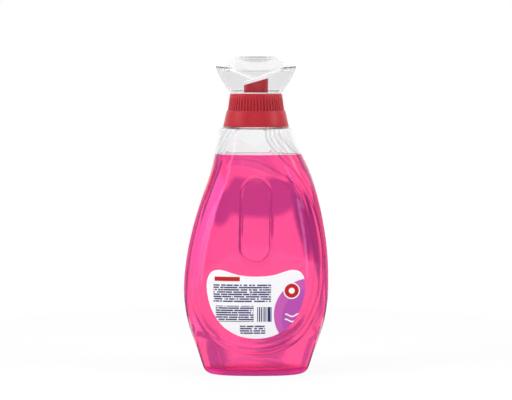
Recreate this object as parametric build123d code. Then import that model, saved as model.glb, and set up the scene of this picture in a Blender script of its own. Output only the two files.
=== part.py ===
"""Liquid laundry detergent bottle: a clear blown bottle with its filling, a screw-on pouring collar and a
clear dosing cap. Millimetres. The origin is the middle of the base on the standing plane, +Z is up, +X is
to the right of someone who faces the label, and the label faces -Y."""

import os
from math import asin, copysign, cos, hypot, pi, sin, sqrt

from build123d import *

# Bottle body: oval sections from the base to the shoulder, each as height, half width on the left, half
# width on the right, half depth, and fullness, where 2 is an ellipse and more is squarer.
BODY_SECTIONS = [
    (0.0, 45.0, 45.0, 28.5, 2.8),
    (18.0, 51.3, 51.3, 31.1, 2.75),
    (36.0, 57.5, 57.5, 33.0, 2.7),
    (54.0, 62.2, 62.2, 34.4, 2.65),
    (72.0, 64.0, 64.1, 35.0, 2.6),
    (90.0, 63.2, 64.1, 35.1, 2.55),
    (108.0, 60.6, 63.1, 34.8, 2.5),
    (126.0, 56.8, 60.8, 34.1, 2.45),
    (144.0, 51.7, 57.4, 33.3, 2.4),
    (162.0, 45.6, 52.9, 32.6, 2.3),
    (180.0, 39.4, 46.6, 31.9, 2.2),
    (198.0, 35.6, 38.2, 31.3, 2.1),
    (218.0, 31.6, 30.8, 30.5, 2.0),
]
SHOULDER_TRIM = 0.8
SHOULDER_ROUND = 3.0
OVAL_POINTS = 24
WALL = 0.8
BASE_WALL = 1.2
HEEL_RADIUS = 5.0

# Push-up of the base: a shallow oval hollow inside the standing ring.
PUSH_UP_HALF_WIDTH = 31.0
PUSH_UP_HALF_DEPTH = 16.0
PUSH_UP_RISE = 3.5
PUSH_UP_DRAFT = 50.0

# Leaf-shaped label panel, sunk into the front and the back: its outline as points across and up.
PANEL_OUTLINE = [
    (-25.0, 188.5),
    (-4.0, 189.0),
    (15.0, 181.5),
    (32.0, 170.0),
    (44.0, 154.0),
    (52.0, 131.0),
    (56.0, 100.0),
    (51.5, 65.0),
    (33.5, 36.0),
    (0.0, 24.7),
    (-33.5, 36.0),
    (-52.0, 63.0),
    (-53.5, 98.0),
    (-45.5, 136.0),
    (-35.5, 172.0),
]
PANEL_MIDDLE = (0.0, 100.0)
PANEL_DEPTH = 1.4
PANEL_BEVEL = 5.0
PANEL_STEP = 0.1

# Shallow flat that frames the panel and sweeps up to the collar: its outline as points across and up.
FRAME_OUTLINE = [
    (-8.0, 226.0),
    (7.0, 222.0),
    (9.5, 207.0),
    (18.5, 195.0),
    (33.0, 180.0),
    (46.0, 160.0),
    (54.5, 137.0),
    (59.3, 104.0),
    (56.0, 65.0),
    (37.0, 32.0),
    (0.0, 19.5),
    (-37.0, 32.0),
    (-56.0, 62.0),
    (-57.5, 98.0),
    (-50.0, 136.0),
    (-39.5, 172.0),
    (-28.5, 196.0),
    (-20.5, 210.0),
]
FRAME_DEPTH = 0.7
FRAME_SPANS = 6

# Long rounded mark pressed into the upper half of the front panel.
MARK_WIDTH = 28.4
MARK_HEIGHT = 73.6
MARK_MIDDLE_HEIGHT = 136.8
MARK_DEPTH = 0.6
MARK_LINE = 1.8

# Neck finish.
NECK_OUTER_RADIUS = 20.0
NECK_WALL = 1.8
NECK_ROOT_DEPTH = 5.2
NECK_HEIGHT = 15.3
NECK_RING_OVERHANG = 2.3
NECK_RING_THICKNESS = 1.6
NECK_RING_DROP = 10.6

# Filling, and the film of clearance between it and the wall.
FILL_HEIGHT = 193.0
FILM = 0.05

# Back label: two round horns at the top with a dip between them, and a round foot. The points run down its
# right side.
LABEL_SIDE = [
    (15.0, 89.8),
    (30.0, 94.0),
    (38.5, 92.2),
    (42.6, 84.0),
    (42.0, 71.0),
    (37.5, 57.0),
    (28.5, 44.5),
    (15.0, 36.4),
]
LABEL_DIP = 88.5
LABEL_FOOT = 34.0
LABEL_THICKNESS = 0.15
LABEL_GAP = 0.1

# Pouring collar: a ribbed grip above a plain skirt, with a well and a spout inside.
COLLAR_GAP = 0.5
SKIRT_BOTTOM_RADIUS = 29.0
SKIRT_TOP_RADIUS = 25.8
SKIRT_HEIGHT = 14.3
SKIRT_WALL = 1.4
GRIP_BOTTOM_RADIUS = 24.9
GRIP_TOP_RADIUS = 22.9
GRIP_HEIGHT = 14.7
COLLAR_EDGE_RADIUS = 0.7
NECK_THREAD_ROOM = 1.7
THREAD_WALL = 1.3
THREAD_WALL_DROP = 9.0
CAP_THREAD_ROOM = 1.1
WELL_FLOOR = 1.5
RIB_COUNT = 54
RIB_GROOVE_RADIUS = 0.95
RIB_GROOVE_DEPTH = 0.75
RIB_FADE = 1.9

# Spout in the middle of the collar, cut off at a slant, with a drain hole at its low side.
SPOUT_OUTER_RADIUS = 10.7
SPOUT_INNER_RADIUS = 9.3
SPOUT_RISE = 23.8
SPOUT_LIP_ANGLE = 16.0
DRAIN_RADIUS = 2.0

# Flat sealing rings under the collar's well and under the cap's flange.
NECK_SEAL_THICKNESS = 1.0
CAP_SEAL_THICKNESS = 1.0
RUNNING_GAP = 0.2

# Dosing cap: a flared bowl with a threaded skirt below, closed by a dished lid.
CAP_WALL = 1.5
CAP_SKIRT_RADIUS = 19.5
CAP_SKIRT_DEPTH = 10.0
BOWL_FOOT_RADIUS = 22.3
BOWL_MIDDLE_RADIUS = 29.8
BOWL_MIDDLE_RISE = 10.7
BOWL_RIM_RADIUS = 35.5
BOWL_RISE = 23.3
BOWL_RIM_SAG = 2.6
RIM_LAND = 0.2
LID_SEAT_DROP = 4.6
LID_SEAT_WIDTH = 1.2
LID_RING_RADIUS = 17.8
LID_RING_WIDTH = 1.6
LID_RISE = 31.4
LID_DISH_DEPTH = 4.0
LID_SLOPE_SAG = 0.9
SWEEP_DEPTH = 0.5
SWEEP_RIGHT_ANGLE = 20.0
SWEEP_LEFT_ANGLE = -23.0
SWEEP_RIGHT_RISE = 11.6
SWEEP_LEFT_RISE = 9.6

# Radii and heights that follow from the sizes above.
NECK_INNER_RADIUS = NECK_OUTER_RADIUS - NECK_WALL
NECK_RING_RADIUS = NECK_OUTER_RADIUS + NECK_RING_OVERHANG
THREAD_WALL_INNER_RADIUS = NECK_OUTER_RADIUS + NECK_THREAD_ROOM
THREAD_WALL_OUTER_RADIUS = THREAD_WALL_INNER_RADIUS + THREAD_WALL
WELL_RADIUS = CAP_SKIRT_RADIUS + CAP_THREAD_ROOM
SHOULDER_TOP = BODY_SECTIONS[-1][0] - SHOULDER_TRIM
NECK_ROOT = SHOULDER_TOP - NECK_ROOT_DEPTH
NECK_TOP = SHOULDER_TOP + NECK_HEIGHT
COLLAR_BOTTOM = SHOULDER_TOP + COLLAR_GAP
WELL_UNDERSIDE = NECK_TOP + NECK_SEAL_THICKNESS
WELL_FLOOR_TOP = WELL_UNDERSIDE + WELL_FLOOR
GRIP_BOTTOM = COLLAR_BOTTOM + SKIRT_HEIGHT
COLLAR_TOP = GRIP_BOTTOM + GRIP_HEIGHT
CAP_FOOT = COLLAR_TOP + CAP_SEAL_THICKNESS
FAR = 400.0


def face_of(*edges):
    """A flat face inside a closed chain of edges."""
    return make_face(Wire(list(edges)))


def turned(*points_and_curves):
    """A solid of revolution about Z. Corners are (radius, height) pairs; a curve stands in for a side."""
    edges = []
    chain = list(points_and_curves)
    for here, after in zip(chain, chain[1:] + chain[:1]):
        if isinstance(here, Edge):
            edges.append(here)
        start = here @ 1 if isinstance(here, Edge) else Vector(*here)
        end = after @ 0 if isinstance(after, Edge) else Vector(*after)
        if (end - start).length > 1e-6:
            edges.append(Edge.make_line(start, end))
    return revolve(Plane.XZ * face_of(*edges), Axis.Z)


def slab(low, high):
    """A block that is wider than the object, from one height to another."""
    return Pos(0, 0, (low + high) / 2) * Box(FAR, FAR, high - low)


# Bottle


def oval(height, left, right, depth, fullness, inset):
    """One closed section of the body, pulled in by inset."""
    points = []
    for k in range(OVAL_POINTS):
        across, along = cos(2 * pi * k / OVAL_POINTS), sin(2 * pi * k / OVAL_POINTS)
        half_width = (right if across > 0 else left) - inset
        x = half_width * copysign(abs(across) ** (2 / fullness), across)
        y = (depth - inset) * copysign(abs(along) ** (2 / fullness), along)
        points.append((x, y, height))
    return Wire([Edge.make_spline(points, periodic=True)])


def body_loft(inset):
    """The body's smooth outside, pulled in by inset, without its base, panels or neck."""
    rings = [oval(*section, inset) for section in BODY_SECTIONS]
    return Part(children=[Solid.make_loft(rings)])


def leaf_edge(outline, grow):
    """A leaf's smooth outline, widened by grow."""
    points = []
    for x, z in outline:
        out_x, out_z = x - PANEL_MIDDLE[0], z - PANEL_MIDDLE[1]
        share = 1 + grow / hypot(out_x, out_z)
        points.append((PANEL_MIDDLE[0] + out_x * share, PANEL_MIDDLE[1] + out_z * share))
    return Edge.make_spline([Vector(*p) for p in points], periodic=True)


def panel_prism(grow):
    """The panel's outline carried through the body from front to back."""
    return extrude(Plane.XZ * face_of(leaf_edge(PANEL_OUTLINE, grow)), FAR / 2, both=True)


def frame_prism(grow):
    """The frame's outline, in shorter spans, carried through the body from front to back."""
    around = leaf_edge(FRAME_OUTLINE, grow)
    spans = [around.trim(k / FRAME_SPANS, (k + 1) / FRAME_SPANS) for k in range(FRAME_SPANS)]
    return extrude(Plane.XZ * face_of(*spans), FAR / 2, both=True)


def mark_prism(grow):
    """The line that draws the long mark, widened by grow and carried out through the front."""
    outline = SlotOverall(MARK_HEIGHT + 2 * grow, MARK_WIDTH + 2 * grow, rotation=90)
    within = 2 * (MARK_LINE + grow)
    outline -= SlotOverall(MARK_HEIGHT - within, MARK_WIDTH - within, rotation=90)
    return extrude(Plane.XZ * Pos(0, MARK_MIDDLE_HEIGHT) * outline, FAR / 2)


def push_up(grow):
    """The hollow under the base, widened by grow."""
    oval_face = Ellipse(PUSH_UP_HALF_WIDTH + grow, PUSH_UP_HALF_DEPTH + grow)
    return extrude(oval_face, PUSH_UP_RISE + grow, taper=PUSH_UP_DRAFT)


def bevelled(body, side):
    """The body with a slope down to one panel's floor: side 0 is the front, -1 the back."""
    floors = [face for face in body.faces().filter_by(GeomType.BSPLINE) if len(face.edges()) == 1]
    floor = ShapeList(floors).sort_by(Axis.Y)[side]
    drop = PANEL_DEPTH - FRAME_DEPTH - PANEL_STEP
    return chamfer(floor.edges(), PANEL_BEVEL, drop, reference=floor)


def body_form(inset, floor):
    """The body pulled in by inset, standing on floor, with heel, push-up, frames, panels and mark."""
    body = body_loft(inset) & slab(floor, SHOULDER_TOP - inset)
    body = fillet(body.edges().group_by(Axis.Z)[0], HEEL_RADIUS - inset)
    body = fillet(body.edges().group_by(Axis.Z)[-1], SHOULDER_ROUND - inset)
    body -= push_up(floor)
    body -= frame_prism(inset) - body_loft(inset + FRAME_DEPTH)
    body -= panel_prism(inset) - body_loft(inset + PANEL_DEPTH)
    body = bevelled(bevelled(body, 0), -1)
    body -= mark_prism(inset) - body_loft(inset + PANEL_DEPTH + MARK_DEPTH)
    return body


def disc(radius, low, high):
    """A round post on the axis."""
    return Pos(0, 0, (low + high) / 2) * Cylinder(radius, high - low)


def make_bottle():
    ring_high = NECK_TOP - NECK_RING_DROP
    outside = body_form(0, 0) + disc(NECK_OUTER_RADIUS, NECK_ROOT, NECK_TOP)
    outside += disc(NECK_RING_RADIUS, ring_high - NECK_RING_THICKNESS, ring_high)
    cavity = body_form(WALL, BASE_WALL) + disc(NECK_INNER_RADIUS, NECK_ROOT, FAR)
    return outside - cavity


def make_detergent():
    return body_form(WALL + FILM, BASE_WALL + FILM) & slab(0, FILL_HEIGHT)


def make_back_label():
    left = [(-x, z) for x, z in reversed(LABEL_SIDE)]
    around = [(0, LABEL_DIP), *LABEL_SIDE, (0, LABEL_FOOT), *left]
    edge = Edge.make_spline([Vector(*point) for point in around], periodic=True)
    prism = extrude(Plane.XZ * face_of(edge), FAR / 2)
    under = PANEL_DEPTH - LABEL_GAP
    return (prism & body_loft(under - LABEL_THICKNESS)) - body_loft(under)


# Pouring collar


def rib_grooves():
    """The round grooves of the grip, deep at the ledge and fading out below the top edge."""
    lean = GRIP_BOTTOM_RADIUS - RIB_GROOVE_DEPTH - GRIP_TOP_RADIUS
    angle = lean / (GRIP_HEIGHT - RIB_FADE)
    start = GRIP_BOTTOM_RADIUS - RIB_GROOVE_DEPTH + RIB_GROOVE_RADIUS
    cutter = Cylinder(RIB_GROOVE_RADIUS, GRIP_HEIGHT, align=(Align.CENTER, Align.CENTER, Align.MIN))
    leaning = Pos(start, 0, GRIP_BOTTOM) * Rot(0, -angle * 180 / pi, 0) * cutter
    return [Rot(0, 0, 360 * k / RIB_COUNT) * leaning for k in range(RIB_COUNT)]


def make_pour_spout_collar():
    shell = turned(
        (SKIRT_BOTTOM_RADIUS, COLLAR_BOTTOM),
        (SKIRT_TOP_RADIUS, GRIP_BOTTOM),
        (GRIP_BOTTOM_RADIUS, GRIP_BOTTOM),
        (GRIP_TOP_RADIUS, COLLAR_TOP),
        (WELL_RADIUS, COLLAR_TOP),
        (WELL_RADIUS, WELL_FLOOR_TOP),
        (0, WELL_FLOOR_TOP),
        (0, WELL_UNDERSIDE),
        (THREAD_WALL_INNER_RADIUS, WELL_UNDERSIDE),
        (THREAD_WALL_INNER_RADIUS, WELL_UNDERSIDE - THREAD_WALL_DROP),
        (THREAD_WALL_OUTER_RADIUS, WELL_UNDERSIDE - THREAD_WALL_DROP),
        (THREAD_WALL_OUTER_RADIUS, GRIP_BOTTOM - SKIRT_WALL),
        (SKIRT_TOP_RADIUS - SKIRT_WALL, GRIP_BOTTOM - SKIRT_WALL),
        (SKIRT_BOTTOM_RADIUS - SKIRT_WALL, COLLAR_BOTTOM),
    )
    top_edge = shell.edges().filter_by(GeomType.CIRCLE).group_by(Axis.Z)[-1].sort_by(SortBy.RADIUS)[-1]
    shell = fillet(top_edge, COLLAR_EDGE_RADIUS)
    shell -= rib_grooves()
    spout = Pos(0, 0, WELL_UNDERSIDE) * Cylinder(
        SPOUT_OUTER_RADIUS, 2 * SPOUT_RISE, align=(Align.CENTER, Align.CENTER, Align.MIN)
    )
    lip = Pos(0, 0, WELL_UNDERSIDE + SPOUT_RISE) * Rot(0, -SPOUT_LIP_ANGLE, 0) * slab(0, FAR)
    bore = Cylinder(SPOUT_INNER_RADIUS, FAR * 2)
    drain_place = -(SPOUT_OUTER_RADIUS + CAP_SKIRT_RADIUS - CAP_WALL) / 2
    drain = Pos(drain_place, 0, WELL_UNDERSIDE) * Cylinder(DRAIN_RADIUS, 4 * WELL_FLOOR)
    return shell + (spout - lip) - bore - drain


# Sealing rings


def ring(inner, outer, low, high):
    return turned((inner, low), (outer, low), (outer, high), (inner, high))


def make_neck_seal():
    return ring(NECK_INNER_RADIUS, THREAD_WALL_INNER_RADIUS - RUNNING_GAP, NECK_TOP, WELL_UNDERSIDE)


def make_cap_seal():
    return ring(CAP_SKIRT_RADIUS + RUNNING_GAP, BOWL_FOOT_RADIUS, COLLAR_TOP, CAP_FOOT)


# Dosing cap


def bowl_circle():
    """Centre and radius of the arc that the bowl's outside follows, as (radius, height)."""
    arc = ThreePointArc(
        (BOWL_FOOT_RADIUS, CAP_FOOT),
        (BOWL_MIDDLE_RADIUS, CAP_FOOT + BOWL_MIDDLE_RISE),
        (BOWL_RIM_RADIUS, CAP_FOOT + BOWL_RISE),
    )
    return arc.arc_center, arc.radius


def bowl_radius_at(height, inset):
    """Radius of the bowl's surface at a height, pulled in by inset."""
    centre, radius = bowl_circle()
    return centre.X + sqrt((radius - inset) ** 2 - (height - centre.Y) ** 2)


def bowl_side(low, high, inset):
    """The bowl's curved side between two heights, pulled in by inset, going up."""
    heights = [low + (high - low) * k / 4 for k in range(5)]
    return Edge.make_spline([Vector(bowl_radius_at(z, inset), z) for z in heights])


def rim_cut():
    """What is taken off above the rim, which sags from the left and right tips to the front and back."""
    sweep = (BOWL_RIM_RADIUS**2 + BOWL_RIM_SAG**2) / (2 * BOWL_RIM_SAG)
    lowest = CAP_FOOT + BOWL_RISE - RIM_LAND - BOWL_RIM_SAG
    return Pos(0, 0, lowest + sweep) * Rot(90, 0, 0) * Cylinder(sweep, FAR)


def sweep_recess():
    """The sunk wedge between two sweeping lines, on the front of the bowl and again on its back."""
    tip = CAP_FOOT + BOWL_RISE
    side = bowl_side(CAP_FOOT, tip, SWEEP_DEPTH)
    skin = turned((0, tip), (0, CAP_FOOT), side)
    skin = slab(CAP_FOOT, tip) - skin
    right = Pos(0, 0, CAP_FOOT + SWEEP_RIGHT_RISE) * Rot(0, -SWEEP_RIGHT_ANGLE, 0) * slab(0, FAR)
    left = Pos(0, 0, CAP_FOOT + SWEEP_LEFT_RISE) * Rot(0, -SWEEP_LEFT_ANGLE, 0) * slab(0, FAR)
    front = Pos(0, -FAR / 2, 0) * Box(FAR, FAR, FAR * 2)
    wedge = skin & right & left & front
    return [wedge, Rot(0, 0, 180) * wedge]


def make_dosing_cap_bowl():
    tip = CAP_FOOT + BOWL_RISE
    seat = tip - LID_SEAT_DROP
    skirt_bottom = CAP_FOOT - CAP_SKIRT_DEPTH
    inner_low = CAP_FOOT + CAP_WALL
    bowl = turned(
        (CAP_SKIRT_RADIUS, skirt_bottom),
        (CAP_SKIRT_RADIUS, CAP_FOOT),
        bowl_side(CAP_FOOT, tip, 0),
        Edge.make_line((bowl_radius_at(tip, CAP_WALL), tip), (bowl_radius_at(seat, CAP_WALL), seat)),
        (bowl_radius_at(seat, CAP_WALL) - LID_SEAT_WIDTH, seat),
        Edge.make_line(
            (bowl_radius_at(seat - 2 * LID_SEAT_WIDTH, CAP_WALL), seat - 2 * LID_SEAT_WIDTH),
            (bowl_radius_at(inner_low, CAP_WALL), inner_low),
        ),
        (CAP_SKIRT_RADIUS - CAP_WALL, inner_low),
        (CAP_SKIRT_RADIUS - CAP_WALL, skirt_bottom),
    )
    bowl -= rim_cut()
    bowl -= sweep_recess()
    return bowl


def dish_points(rim_radius, rim_height, depth):
    """Rim, middle and bottom of a shallow round dish's section."""
    sphere = (rim_radius**2 + depth**2) / (2 * depth)
    half = asin(rim_radius / sphere) / 2
    middle = (sphere * sin(half), rim_height - depth + sphere * (1 - cos(half)))
    return [(rim_radius, rim_height), middle, (0, rim_height - depth)]


def make_dosing_cap_lid():
    seat = CAP_FOOT + BOWL_RISE - LID_SEAT_DROP
    top = CAP_FOOT + LID_RISE
    edge_radius = bowl_radius_at(seat, CAP_WALL) - RUNNING_GAP
    ring_inner = LID_RING_RADIUS - LID_RING_WIDTH
    middle_radius = (edge_radius + LID_RING_RADIUS) / 2
    middle_height = (seat + CAP_WALL + top) / 2 - LID_SLOPE_SAG
    slope = [(edge_radius, seat + CAP_WALL), (middle_radius, middle_height), (LID_RING_RADIUS, top)]
    under_slope = [(r - CAP_WALL / 2, z - CAP_WALL) for r, z in reversed(slope)]
    return turned(
        Edge.make_spline([Vector(*p) for p in slope]),
        ThreePointArc(*dish_points(ring_inner, top, LID_DISH_DEPTH)),
        ThreePointArc(*reversed(dish_points(ring_inner, top - CAP_WALL, LID_DISH_DEPTH))),
        Edge.make_spline([Vector(*p) for p in under_slope]),
        (edge_radius, seat),
    )


PIECES = {
    "bottle": make_bottle,
    "detergent": make_detergent,
    "back_label": make_back_label,
    "neck_seal": make_neck_seal,
    "pour_spout_collar": make_pour_spout_collar,
    "cap_seal": make_cap_seal,
    "dosing_cap_bowl": make_dosing_cap_bowl,
    "dosing_cap_lid": make_dosing_cap_lid,
}

os.makedirs("parts", exist_ok=True)
for name, make in PIECES.items():
    export_step(make(), f"parts/{name}.step")
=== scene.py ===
"""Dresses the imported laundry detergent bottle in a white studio, seen from the photograph's angle.

It has a clear shell, a pink filling, a printed label, a red ribbed collar and a clear dosing cap.
"""

from math import cos, pi, radians, sin, sqrt, tan

import bpy
import numpy as np
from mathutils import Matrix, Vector


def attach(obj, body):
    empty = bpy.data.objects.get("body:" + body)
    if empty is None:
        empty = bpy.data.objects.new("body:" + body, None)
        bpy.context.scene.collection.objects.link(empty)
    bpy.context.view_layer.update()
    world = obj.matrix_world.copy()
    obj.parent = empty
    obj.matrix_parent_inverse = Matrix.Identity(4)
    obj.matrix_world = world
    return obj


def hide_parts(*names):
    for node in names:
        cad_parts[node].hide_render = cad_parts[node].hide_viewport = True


# The object's sizes are in millimetres, and MM turns them into Blender's metres.
MM = 0.001

# Bottle body, as in the solids: height, half width left and right, half depth, fullness of the oval.
SECTIONS = np.array([
    (0.0, 45.0, 45.0, 28.5, 2.8),
    (18.0, 51.3, 51.3, 31.1, 2.75),
    (36.0, 57.5, 57.5, 33.0, 2.7),
    (54.0, 62.2, 62.2, 34.4, 2.65),
    (72.0, 64.0, 64.1, 35.0, 2.6),
    (90.0, 63.2, 64.1, 35.1, 2.55),
    (108.0, 60.6, 63.1, 34.8, 2.5),
    (126.0, 56.8, 60.8, 34.1, 2.45),
    (144.0, 51.7, 57.4, 33.3, 2.4),
    (162.0, 45.6, 52.9, 32.6, 2.3),
    (180.0, 39.4, 46.6, 31.9, 2.2),
    (198.0, 35.6, 38.2, 31.3, 2.1),
    (218.0, 31.6, 30.8, 30.5, 2.0),
])
SHOULDER_TOP = 217.2
SHOULDER_ROUND = 3.0
HEEL_RADIUS = 5.0
WALL = 0.8
BASE_WALL = 1.2
PUSH_UP = (31.0, 16.0)
PUSH_UP_RISE = 3.5
PUSH_UP_DRAFT = radians(50)
PUSH_UP_TOP_SHARES = (0.25, 0.5, 0.75, 0.93, 1.0)
PUSH_UP_SIDE_SHARES = (0.07, 0.5, 0.93, 1.0)
FOOT_RING_SHARES = (0.08, 0.5, 1.0)
HEEL_STEPS = 9
SHOULDER_STEPS = 6

# Sunk panel, the shallow frame round it that sweeps up to the collar, and the long grooved mark on the front.
PANEL = [
    (-25.0, 188.5), (-4.0, 189.0), (15.0, 181.5), (32.0, 170.0), (44.0, 154.0), (52.0, 131.0), (56.0, 100.0),
    (51.5, 65.0), (33.5, 36.0), (0.0, 24.7), (-33.5, 36.0), (-52.0, 63.0), (-53.5, 98.0), (-45.5, 136.0),
    (-35.5, 172.0),
]
PANEL_DEPTH = 1.4
PANEL_BEVEL = 5.0
EDGE_ROUND = 0.55
FRAME = [
    (-8.0, 226.0), (7.0, 222.0), (9.5, 207.0), (18.5, 195.0), (33.0, 180.0), (46.0, 160.0), (54.5, 137.0),
    (59.3, 104.0), (56.0, 65.0), (37.0, 32.0), (0.0, 19.5), (-37.0, 32.0), (-56.0, 62.0), (-57.5, 98.0),
    (-50.0, 136.0), (-39.5, 172.0), (-28.5, 196.0), (-20.5, 210.0),
]
FRAME_DEPTH = 0.7
FRAME_EDGE = 0.9
FRAME_ROUND = 0.2
OUTLINE_SPANS = 8
MARK_SHARPNESS = 0.45
MARK_WIDTH = 28.4
MARK_HEIGHT = 73.6
MARK_MIDDLE = 136.8
MARK_DEPTH = 0.6
MARK_LINE = 1.8

# Painted shade along the lines where the plastic is folded: its strengths, and how it grows from left to
# right.
CREASE_WIDTH = 0.8
EDGE_CREASE = 0.8
FLOOR_CREASE = 0.4
CREASE_MIDDLE = 0.65
CREASE_GROWTH = 1 / 60
CREASE_LEFT = 0.3
MARK_SHADE = 0.55
FLOW_LINES = (3.5, 7.0, 11.5)
FLOW_WIDTH = 0.6
FLOW_SHADE = 0.6
FLOW_START = (185.0, 125.0)
FLOW_FADE = 35.0

# Painted pink shade and haze at the heel, where the plastic is thick.
HEEL_PAINTED_HAZE = 0.6
HEEL_PAINTED_HAZE_HEIGHT = 6.0
HEEL_PAINTED_PINK_FULL = 0.1

# Neck finish and its thread.
NECK_OUTER = 20.0
NECK_INNER = 18.2
NECK_TOP = 232.5
NECK_RING = (220.3, 221.9, 22.3)
SHOULDER_LAND_R = 24.0
NECK_FLARE = (1.0, 0.3)
NECK_INSIDE_FLARE = 0.4
NECK_CORNER = 0.1
RING_EDGE = 0.2
MOUTH_EDGE = 0.3
NECK_THREAD_MARGINS = (0.3, 0.4)
THREAD_PITCH = 4.0
THREAD_HEIGHT = 1.1
THREAD_WIDTH = 0.75
THREAD_TURNS = 1.6
THREAD_FADE = 0.06
THREAD_START = 1.5

# Filling.
FILL_HEIGHT = 193.5
MENISCUS_RISE = 0.2
MENISCUS_WIDTH = 1.2
LIQUID_LAP = 0.03
MENISCUS_STEPS = 8
LIQUID_TOP_SHARES = (0.75, 0.5, 0.25)

# Label on the front panel.
LABEL_SIDE = [
    (15.0, 89.8), (30.0, 94.0), (38.5, 92.2), (42.6, 84.0), (42.0, 71.0), (37.5, 57.0), (28.5, 44.5),
    (15.0, 36.4),
]
LABEL_DIP = 88.5
LABEL_FOOT = 34.0
LABEL_MIDDLE = 64.0
LABEL_GAP = 0.1
LABEL_THICKNESS = 0.15
LABEL_SHARES = (0.1, 0.3, 0.5, 0.65, 0.8, 0.92, 0.985, 1.0)
LABEL_SPANS = 14

# Collar.
COLLAR_BOTTOM = 217.7
SKIRT_BOTTOM_R = 29.0
SKIRT_TOP_R = 25.8
LEDGE = 232.0
GRIP_BOTTOM_R = 24.9
GRIP_TOP_R = 22.9
COLLAR_TOP = 246.7
SKIRT_WALL = 1.4
SKIRT_SIDE = ((0.5, 0.0), (0.12, 0.15), (0.05, 0.6), (1.0, 4.5), (2.1, 9.5))
SKIRT_TOP = ((-0.12, 0.6), (0.1, 0.1), (0.35, 0.0))
THREAD_WALL = (21.7, 23.0)
THREAD_WALL_DROP = 9.0
COLLAR_CORNER = 0.2
WELL_R = 20.6
WELL_FLOOR = (233.5, 235.0)
RIBS = 54
RIB_STEPS = 12
RIB_DEPTH = 0.75
RIB_SHARPNESS = 6
RIB_TOP = 0.9
RIB_FADE = 0.35
GRIP_SHARES = (0.0, 0.01, *np.linspace(0.03, 0.93, 14), 0.96, 0.98, 0.992, 1.0)
GRIP_EDGE = 0.7
GRIP_EDGE_START = 0.955
GRIP_INSIDE_R = 21.6
WELL_EDGE = 0.3
WELL_CORNER = (0.4, 0.5)
SPOUT_R = (9.3, 10.7)
SPOUT_RISE = 23.8
SPOUT_LIP = radians(16)
SPOUT_LIP_OUTSIDE = ((0.0, 0.35), (0.15, 0.1), (0.45, 0.0))
SPOUT_LIP_INSIDE = ((0.35, 0.0), (0.1, 0.1), (0.0, 0.35))
SPOUT_CORNER = (0.1, 0.4)
SPOUT_PAINTED_SHADE = 0.45
DRAIN_R = 2.0
DRAIN_PLACE = -14.35
DRAIN_COLUMNS = 48
DRAIN_CUT = 6.0

# Dosing cap.
CAP_FOOT = 247.7
CAP_WALL = 1.5
CAP_SKIRT_R = 19.5
CAP_SKIRT_BOTTOM = 237.7
BOWL_ARC = ((22.3, 247.7), (29.8, 258.4), (35.5, 271.0))
RIM_LAND = 0.2
RIM_SAG = 2.6
LID_SEAT = 266.4
LID_SEAT_WIDTH = 1.2
CAP_THREAD_HEIGHT = 0.75
LID_TOP = 279.1
LID_RING_R = (16.2, 17.8)
LID_DISH = 4.0
LID_SAG = 0.9
LID_EDGE_GAP = 0.2
SWEEP_RIGHT = (11.6, radians(20))
SWEEP_LEFT = (9.6, radians(23))
SWEEP_DEPTH = 0.5
SWEEP_RAMP = 2.0
SWEEP_ROUND = 0.3
CAP_EDGE = 0.3
CAP_CORNER = 0.2
CAP_THREAD_MARGINS = (0.6, 0.3)
BOWL_SHARES = np.linspace(0.02, 0.985, 44)
LIP_INSETS = (0.12, 0.4, 0.75, 1.1, 1.38)
LIP_ROUND = 0.012
LIP_INSIDE_SHARES = np.linspace(0.9, 0, 8)
SEAT_EDGE = 0.1
BOWL_FLOOR_ROUND = 0.6
BOWL_INSIDE_ROWS = 20
LID_CROWN_EDGE = (0.2, 0.5)
LID_SLOPE_SPANS = 10
LID_DISH_EDGE = 0.3
LID_DISH_MIDDLE_R = 1.5
LID_DISH_ROWS = 14
LID_FOOT = (0.1, 0.3)

# Painted highlights on the cap's plastic, and painted shade where it is dark.
SWEEP_LINE = 0.8
SWEEP_RIGHT_FADE = (6.0, 4.0)
SWEEP_LEFT_FADE = (1.0, 2.0)
RIM_LINE = 1.2
RIM_PAINTED_HIGHLIGHT = 0.6
RIM_MIDDLE = 20.0
RIM_FADE = 5.0
FOOT_PAINTED_HIGHLIGHT = 0.7
FOOT_PAINTED_HIGHLIGHT_HEIGHT = 2.0
FOOT_PAINTED_HIGHLIGHT_FADE = 5.0
LID_PAINTED_HIGHLIGHT = 0.3
LID_SHADE = 0.45
LID_SHADE_DROP = 1.7
LID_SHADE_FADE = 0.6

# Finish of the plastics, the liquid and the foam. A bump is a scale, a strength and a distance in metres.
WHITE = (1, 1, 1, 1)
BOTTLE_TINT = (0.98, 0.985, 0.99, 1)
# Painted shade along the creases.
PAINTED_CREASE_GREY = (0.25, 0.23, 0.26, 1)
# Painted pink shade at the heel.
HEEL_PAINTED_PINK = (1.0, 0.08, 0.52, 1)
BOTTLE_IOR = 1.5
BOTTLE_BUMP = (60, 0.05, 0.0004)
CAP_TINT = (0.88, 0.88, 0.885, 1)
# Painted shade at the rim's tips and in the lid's dish.
CAP_PAINTED_SHADE_GREY = (0.04, 0.04, 0.045, 1)
CAP_IOR = 1.04
CAP_COAT = 0.2
CAP_BUMP = (60, 0.005, 0.0004)
PAINTED_HIGHLIGHT_COVER = 0.8
CLEAR_ROUGHNESS = 0.02
COAT_ROUGHNESS = 0.03
LIQUID_TINT = (0.995, 0.085, 0.33, 1)
LIQUID_IOR = 1.36
LIQUID_DEPTH_TINT = (0.99, 0.5, 0.95, 1)
LIQUID_DENSITY = 4
COLLAR_RED = (0.46, 0.02, 0.032, 1)
# Painted shade in the grip's grooves and on the spout.
GROOVE_PAINTED_SHADE_RED = (0.26, 0.009, 0.016, 1)
COLLAR_ROUGHNESS = 0.36
COLLAR_BUMP = (900, 0.12, 0.0002)
FOAM_GREY = (0.7, 0.7, 0.7, 1)
FOAM_ROUGHNESS = 0.7
FOAM_BUMP = (1500, 0.3, 0.0002)
BUMP_DETAIL = 3

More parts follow.
